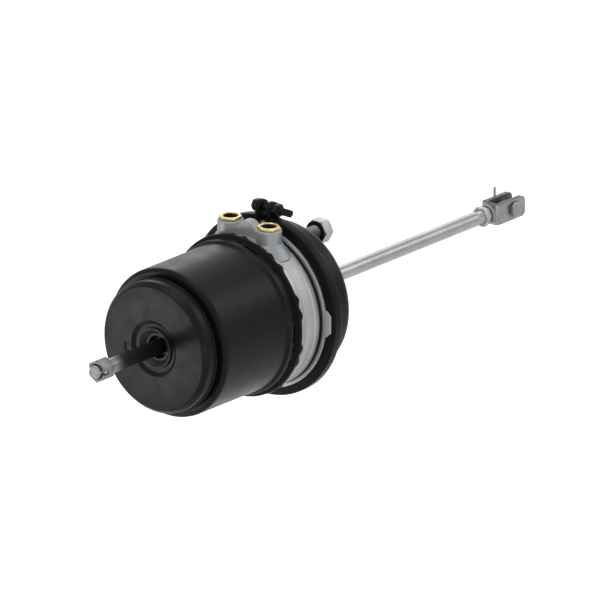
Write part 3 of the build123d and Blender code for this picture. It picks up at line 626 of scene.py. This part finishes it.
def service_pot():
    pot = turn_piece([
        (-39, 79.4), (-39, 91.6, 0.8), (-35.13, 91.6, 0.5), (-31.94, 85.67), (-28.94, 83.4, 2), (0, 83.4, 11),
        (0, 24, 0.8), (-3, 24), (-3, 80.4, 8), (-35, 80.4)], steps=200)
    holes = [rod(8.22, (-4, y, z), (1, y, z)) for y, z in STUD_SPOTS]
    for i in range(4):
        turn = math.radians(45 + 90 * i)
        y, z = 42 * math.cos(turn), 42 * math.sin(turn)
        holes.append(rod(4, (-4, y, z), (1, y, z), 32))
    cut(pot, *holes)
    finish_piece(pot, "service_pot", "chamber", POT_PAINT, ["service_chamber_pot"])


def clamp_band():
    outline = [(-9.8, 89.3, 0.7), (-8.6, 94.6, 1.0), (-7.7, 98.4, 0.9), (-6.4, 99.15, 0.6),
               (2.8, 99.15, 1.6), (5.5, 95, 1.4), (9.8, 89.3, 0.7), (7.09, 87.25, 0.7), (3.4, 92.6, 0.5),
               (2.2, 95.8), (-4.6, 95.8), (-5.8, 92.6, 0.5), (-7.09, 87.25, 0.7)]
    band = turn_piece([(CLAMP_X + corner[0], *corner[1:]) for corner in outline], steps=240)
    cut(band, block((CLAMP_X - 11, -3, 70), (CLAMP_X + 11, 5, 110)))
    for y0, y1 in ((-9.5, -3), (5, 11.5)):
        ear = rod(7.95, (CLAMP_X, y0, CLAMP_SCREW_Z), (CLAMP_X, y1, CLAMP_SCREW_Z), 64, 0.7)
        neck = block((CLAMP_X - 8, y0, 94.5), (CLAMP_X + 8, y1, CLAMP_SCREW_Z), 0.7)
        hole = rod(4.4, (CLAMP_X, y0 - 1, CLAMP_SCREW_Z), (CLAMP_X, y1 + 1, CLAMP_SCREW_Z), 32)
        ear = cut(ear, neck, operation="UNION")
        cut(ear, hole)
        band = cut(band, ear, operation="UNION")
    finish_piece(band, "clamp_band", "chamber", CLAMP_PAINT, ["clamp_ring"])


def beside_clamp(piece):
    """Puts a piece made along X across the clamp's ears, its head at the +Y side."""
    place(piece, turn=(0, 0, -90))
    return place(piece, (CLAMP_X, 11.55, CLAMP_SCREW_Z))


def clamp_screw():
    head = hexagon(12, -6.4, -1.3, 0, (True, False))
    collar = turn_piece([(-1.5, 0), (-1.5, 6.6, 0.4), (-0.3, 7.2, 0.3), (0, 6.9), (0, 0)], 64, False)
    shank = turn_piece([(-0.1, 0), (-0.1, 3.95), (20.6, 3.95), (21, 3.45), (43, 3.45), (44, 2.6), (44, 0)],
                       48, False)
    thread = wind_thread(14, 44.2, 3.4, 4.0, 1.25)
    screw = beside_clamp(join(head, collar, shank, thread))
    finish_piece(screw, "clamp_screw", "chamber", BLACK_STEEL, ["clamp_bolt"])


def clamp_screw_nut():
    nut = hexagon(13, 21.1, 28.6, 4.05, bore_edge=0.5)
    washer = turn_piece([(21.1, 4.1), (21.1, 7.1, 0.2), (22.0, 7.1, 0.2), (22.0, 4.1)], 64)
    nut = beside_clamp(join(nut, washer))
    finish_piece(nut, "clamp_screw_nut", "chamber", BLACK_STEEL, ["clamp_nut"])


# ---- mounting studs ------------------------------------------------------------------------------
def mounting_hardware():
    shank = turn_piece([(-7, 0), (-7, 11.5, 0.8), (-3, 11.5, 0.3), (-3, 8.2), (0, 8.2), (0.4, 7.25),
                        (47, 7.25), (48, 6.4), (48, 0)], 64, False)
    stud = join(shank, wind_thread(1.2, 48.4, 7.15, 8.0, 1.5))
    washer = turn_piece([(30.4, 7.9), (30.4, 12.4, 0.4), (32.4, 12.4, 0.4), (32.4, 7.9)], 72)
    nut = hexagon(24, 32.4, 45.4, 7.9, bore_edge=0.9)
    kinds = (("mounting_stud", stud, STUD_STEEL, "zinc_plate", "mounting_studs"),
             ("stud_washer", washer, BLACK_STEEL, "black_steel", "stud_washers"),
             ("stud_nut", nut, ZINC, "zinc_plate", "stud_nuts"))
    for name, piece, finish, slot, node in kinds:
        twin = duplicate(piece)
        for side, copy, (y, z) in (("upper", piece, STUD_SPOTS[0]), ("lower", twin, STUD_SPOTS[1])):
            place(copy, (0, y, z))
            finish_piece(copy, name + "_" + side, "chamber", finish, [node])


def dust_seal():
    """Rubber seal in the front opening, with ribs and a wiping lip round the push rod."""
    seal = turn_piece([
        (-3, 7.95), (-3, 23.95), (0.2, 23.95), (0.9, 22.6, 0.4), (0.9, 20.4, 0.4), (0.1, 19.6, 0.3),
        (0.1, 17.2, 0.3), (1.0, 16.4, 0.4), (1.0, 14.4, 0.4), (0.2, 13.6, 0.3), (0.2, 12.2, 0.3),
        (2, 10.6, 0.4), (2, 8.8, 0.4), (1.2, 7.95)], steps=96)
    finish_piece(seal, "dust_seal", "chamber", RUBBER, ["rod_seal"])


def return_coil():
    """The return spring keeps its solid's shape and moves with the push rod, though on the real chamber it
    shortens between its plate and the front of the chamber as the push rod moves out."""
    coil = duplicate(nodes["return_spring"])
    bpy.ops.object.parent_clear(type="CLEAR_KEEP_TRANSFORM")
    bpy.ops.object.transform_apply(location=True, rotation=True, scale=True)
    open_mesh(coil)
    bpy.ops.mesh.remove_doubles(threshold=MERGE)
    close_mesh()
    finish_piece(coil, "return_coil", "push_rod", SPRING_STEEL, ["return_spring"])
    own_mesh(coil)


# ---- push rod and clevis -------------------------------------------------------------------------
PIN_X = 352.5
FORK_BACK_X, FORK_FRONT_X = 323, 369
FORK_SIDE_Y = 11.5
COTTER_AT = 28.5            # from the fork's -Y face


def push_rod_and_nut():
    shank = turn_piece([(-71.2, 0), (-71.2, 7.9), (299, 7.9, 0.4), (300.2, 7.0), (326.4, 7.0), (327, 6.4),
                        (327, 0)], 96, False)
    thread = wind_thread(299.6, 327.4, 6.95, 7.8, 1.5)
    finish_piece(join(shank, thread), "push_rod_shank", "push_rod", ROD_STEEL, ["push_rod"])
    nut = hexagon(20, 307, 313.4, 7.9, bore_edge=0.8)
    ring = turn_piece([(313.2, 7.9), (313.2, 9.0), (313.9, 9.0), (314.2, 9.7, 0.2), (315, 9.7, 0.2),
                       (315, 7.9)], 64)
    join(nut, ring)
    finish_piece(nut, "lock_nut", "push_rod", ZINC, ["rod_lock_nut"])


def clevis_fork():
    fork = block((FORK_BACK_X, -FORK_SIDE_Y, -11.25), (FORK_FRONT_X, FORK_SIDE_Y, 11.25))
    open_mesh(fork, "EDGE")
    pick_edges(fork, lambda m, d: abs(d.y) > 0.9 and m.x > FORK_FRONT_X - 1)
    bpy.ops.mesh.bevel(offset=5.5 * MM, segments=4, affect="EDGES")
    pick_edges(fork, lambda m, d: abs(d.z) > 0.9 and m.x < FORK_BACK_X + 1)
    bpy.ops.mesh.bevel(offset=2.5 * MM, segments=1, affect="EDGES")
    close_mesh()
    collar = turn_piece([(318, 7.86), (318, 9.9, 0.2), (318.3, 10.6, 0.3), (319.6, 10.6, 0.3), (320, 9.5, 0.2),
                         (320.9, 9.5, 0.2), (321.3, 10.6, 0.3), (322.6, 10.6, 0.3), (323.1, 9.6), (324, 9.6),
                         (324, 7.86)], 72)
    slot = block((328, -6.5, -13), (371, 6.5, 13))
    bore = rod(7.86, (316, 0, 0), (330, 0, 0), 64)
    eye = rod(6.56, (PIN_X, -13, 0), (PIN_X, 13, 0), 64)
    cut(fork, slot, bore, eye)
    soften(fork, 0.3, 2, 30)
    # The faces inside the slot get the second finish, painted shade.
    finish_piece(join(fork, collar), "clevis_fork", "push_rod", CLEVIS_ZINC, ["clevis"],
                 second=SLOT_SHADE_ZINC, where=lambda c, n: c.x > 327.5 and abs(c.y) < 6.6)


def beside_clevis(piece):
    """Turns a piece made along X so that it runs along +Y from the fork's -Y face."""
    place(piece, turn=(0, 0, 90))
    return place(piece, (PIN_X, -FORK_SIDE_Y, 0))


def clevis_pin_set():
    pin = turn_piece([(-5.3, 0), (-5.3, 6.4, 0.3), (-3.9, 7.9, 0.6), (-0.3, 8.6, 0.4), (-0.3, 6.5),
                      (32, 6.5, 0.3), (33, 5.5), (33, 0)], 72, False)
    cut(pin, rod(1.5, (COTTER_AT, 0, -10), (COTTER_AT, 0, 10), 24))
    beside_clevis(pin)
    finish_piece(pin, "clevis_pin_turned", "clevis_pin", CLEVIS_ZINC, ["clevis_pin"])
    legs = []
    for side, end in ((-1, 18.6), (1, 17.0)):
        bpy.ops.object.select_all(action="DESELECT")
        bpy.ops.mesh.primitive_cylinder_add(vertices=20, radius=1.32 * MM, depth=20 * MM)
        leg = bpy.context.active_object
        open_mesh(leg)
        bpy.ops.mesh.bisect(plane_co=(0, 0, 0), plane_no=(side, 0, 0), use_fill=True, clear_inner=True)
        bpy.ops.mesh.select_all(action="SELECT")
        bpy.ops.transform.translate(value=(side * 0.02 * MM, 0, 0))
        close_mesh()
        low = -8.2
        leg.scale = (1, 1, (end - low) / 20)
        place(leg, (COTTER_AT, 0, (end + low) / 2))
        legs.append(leg)
    bpy.ops.object.select_all(action="DESELECT")
    bpy.ops.mesh.primitive_torus_add(major_radius=2.8 * MM, minor_radius=1.2 * MM,
                                     major_segments=36, minor_segments=14)
    eye = bpy.context.active_object
    place(eye, (COTTER_AT, 0, -10.6), (90, 0, 90))
    cotter = beside_clevis(join(*legs, eye))
    finish_piece(cotter, "split_pin", "clevis_pin", PLAIN_STEEL, ["cotter_pin"])


# ---- release bolt --------------------------------------------------------------------------------
def release_bolt_set():
    shank = turn_piece([(-321.5, 0), (-321.5, 6.6, 0.3), (-320.7, 7.4), (-302, 7.4, 0.2), (-301.4, 8.0),
                        (-174, 8.0), (-173.9, 8.0), (-170.9, 8.0), (-170.9, 12), (-159.9, 12, 1), (-159.9, 0)],
                       72, False)
    # The bolt's end face gets the second finish, painted shade.
    finish_piece(shank, "release_shank", "release_bolt", RELEASE_STEEL, ["release_bolt"],
                 second=END_FACE_SHADE_ZINC, where=lambda c, n: c.x < -321.3)
    nut = hexagon(22, -318, -302, 8.02, (True, True), 30, 0.9)
    cut(nut, block((-319, -14, -2.3), (-311, 14, 2.3), 0.5))
    # The nut's faces that look toward -X get the second finish, painted shade.
    finish_piece(nut, "slotted_nut", "release_bolt", NUT_ZINC, ["release_nut"],
                 second=END_FACE_SHADE_ZINC, where=lambda c, n: n.x < -0.5)
    pin = rod(2, (-313.2, -10, 0), (-313.2, 10, 0), 32, 0.4)
    finish_piece(pin, "locking_pin", "release_bolt", PLAIN_STEEL, ["release_nut_pin"])


parking_pot()
release_bush()
flange_ring()
port_tower()
port_insert("spring_port_brass", "spring_port_insert", PORT_Y)
port_insert("service_port_brass", "service_port_insert", -PORT_Y)
service_pot()
clamp_band()
clamp_screw()
clamp_screw_nut()
mounting_hardware()
dust_seal()
return_coil()
push_rod_and_nut()
clevis_fork()
clevis_pin_set()
release_bolt_set()

# ---- pieces inside, which keep their solids ------------------------------------------------------
INNER_FINISHES = {
    "flange_seal_ring": RUBBER, "spring_piston": CASTING, "piston_seal": RUBBER,
    "piston_guide_ring": BEARING_PLASTIC, "thrust_tube": PLAIN_STEEL, "thrust_tube_plug": PLAIN_STEEL,
    "power_spring": SPRING_STEEL, "tube_guide_bush": BEARING_PLASTIC, "tube_seal": RUBBER,
    "service_diaphragm": RUBBER, "rod_seal_retainer": ZINC, "push_plate": PLAIN_STEEL,
    "release_thrust_washer": PLAIN_STEEL,
}
for name, finish in INNER_FINISHES.items():
    nodes[name].data.materials.clear()
    nodes[name].data.materials.append(finish)

# ---- floor, backdrop and light -------------------------------------------------------------------
FLOOR_Z = -0.42
FLOOR_GREY = 0.22           # of the floor for the light that it throws back on the object
FLOOR_GLOW = 0.88           # for the rays by which the background shows
FILL = 0.03
LAMPS = (                   # name, place in metres, width and height, watts
    ("zenith", (0.6, 0.3, 3.0), (1.6, 1.6), 13),
    ("rear", (2.3, 1.9, 1.2), (1.8, 0.9), 12),
    ("right", (2.16, -1.32, 1.61), (1.2, 1.2), 11),
    ("front", (-2.1, -1.5, 1.5), (1.6, 1.6), 3.5),
    ("low", (-1.5, -1.75, -0.2), (1.4, 0.3), 4.5),
    ("rim", (-1.7, 0.3, 2.4), (1.6, 0.5), 14),
    ("side", (0.5, -3.0, 0.9), (1.5, 1.5), 6),
    ("under", (-1.0, 0.67, -0.36), (0.5, 0.3), 3),
)


def seen_ray(tree):
    """1 for the rays by which the background shows: straight to the camera, mirrored, or through glass."""
    path = tree.nodes.new("ShaderNodeLightPath")
    first = tree.nodes.new("ShaderNodeMath")
    second = tree.nodes.new("ShaderNodeMath")
    first.operation = second.operation = "MAXIMUM"
    tree.links.new(path.outputs["Is Camera Ray"], first.inputs[0])
    tree.links.new(path.outputs["Is Glossy Ray"], first.inputs[1])
    tree.links.new(first.outputs[0], second.inputs[0])
    tree.links.new(path.outputs["Is Transmission Ray"], second.inputs[1])
    return second.outputs[0]


def split_by_ray(tree, unseen, seen, output):
    """Ends a tree with one shader for the rays by which the background shows, and one for the rest."""
    choice = tree.nodes.new("ShaderNodeMixShader")
    tree.links.new(seen_ray(tree), choice.inputs[0])
    tree.links.new(unseen.outputs[0], choice.inputs[1])
    tree.links.new(seen.outputs[0], choice.inputs[2])
    tree.links.new(choice.outputs[0], tree.nodes.new(output).inputs["Surface"])


def lay_floor():
    bpy.ops.object.select_all(action="DESELECT")
    bpy.ops.mesh.primitive_plane_add(size=14, location=(0, 0, FLOOR_Z))
    floor = bpy.context.active_object
    floor.name = "floor"
    pale = bpy.data.materials.new("pale_floor")
    pale.use_nodes = True
    tree = pale.node_tree
    tree.nodes.clear()
    shaded = tree.nodes.new("ShaderNodeBsdfDiffuse")
    shaded.inputs["Color"].default_value = (FLOOR_GREY, FLOOR_GREY, FLOOR_GREY, 1)
    bright = tree.nodes.new("ShaderNodeBsdfDiffuse")
    bright.inputs["Color"].default_value = (1, 1, 1, 1)
    glow = tree.nodes.new("ShaderNodeEmission")
    glow.inputs["Strength"].default_value = FLOOR_GLOW
    both = tree.nodes.new("ShaderNodeAddShader")
    tree.links.new(bright.outputs[0], both.inputs[0])
    tree.links.new(glow.outputs[0], both.inputs[1])
    split_by_ray(tree, shaded, both, "ShaderNodeOutputMaterial")
    floor.data.materials.append(pale)


def hang_backdrop():
    world = bpy.data.worlds.new("studio")
    bpy.context.scene.world = world
    world.use_nodes = True
    tree = world.node_tree
    tree.nodes.clear()
    shades = []
    for strength in (FILL, 1.0):
        shade = tree.nodes.new("ShaderNodeBackground")
        shade.inputs["Color"].default_value = (1, 1, 1, 1)
        shade.inputs["Strength"].default_value = strength
        shades.append(shade)
    split_by_ray(tree, *shades, "ShaderNodeOutputWorld")


def softbox(name, spot, size, power):
    """A rectangular lamp that looks at the origin."""
    light = bpy.data.lights.new(name, "AREA")
    light.shape = "RECTANGLE"
    light.size, light.size_y = size
    light.energy = power
    lamp = bpy.data.objects.new(name, light)
    lamp.location = spot
    lamp.rotation_euler = (-Vector(spot)).to_track_quat("-Z", "Y").to_euler()
    bpy.context.collection.objects.link(lamp)


lay_floor()
hang_backdrop()
for lamp in LAMPS:
    softbox(*lamp)
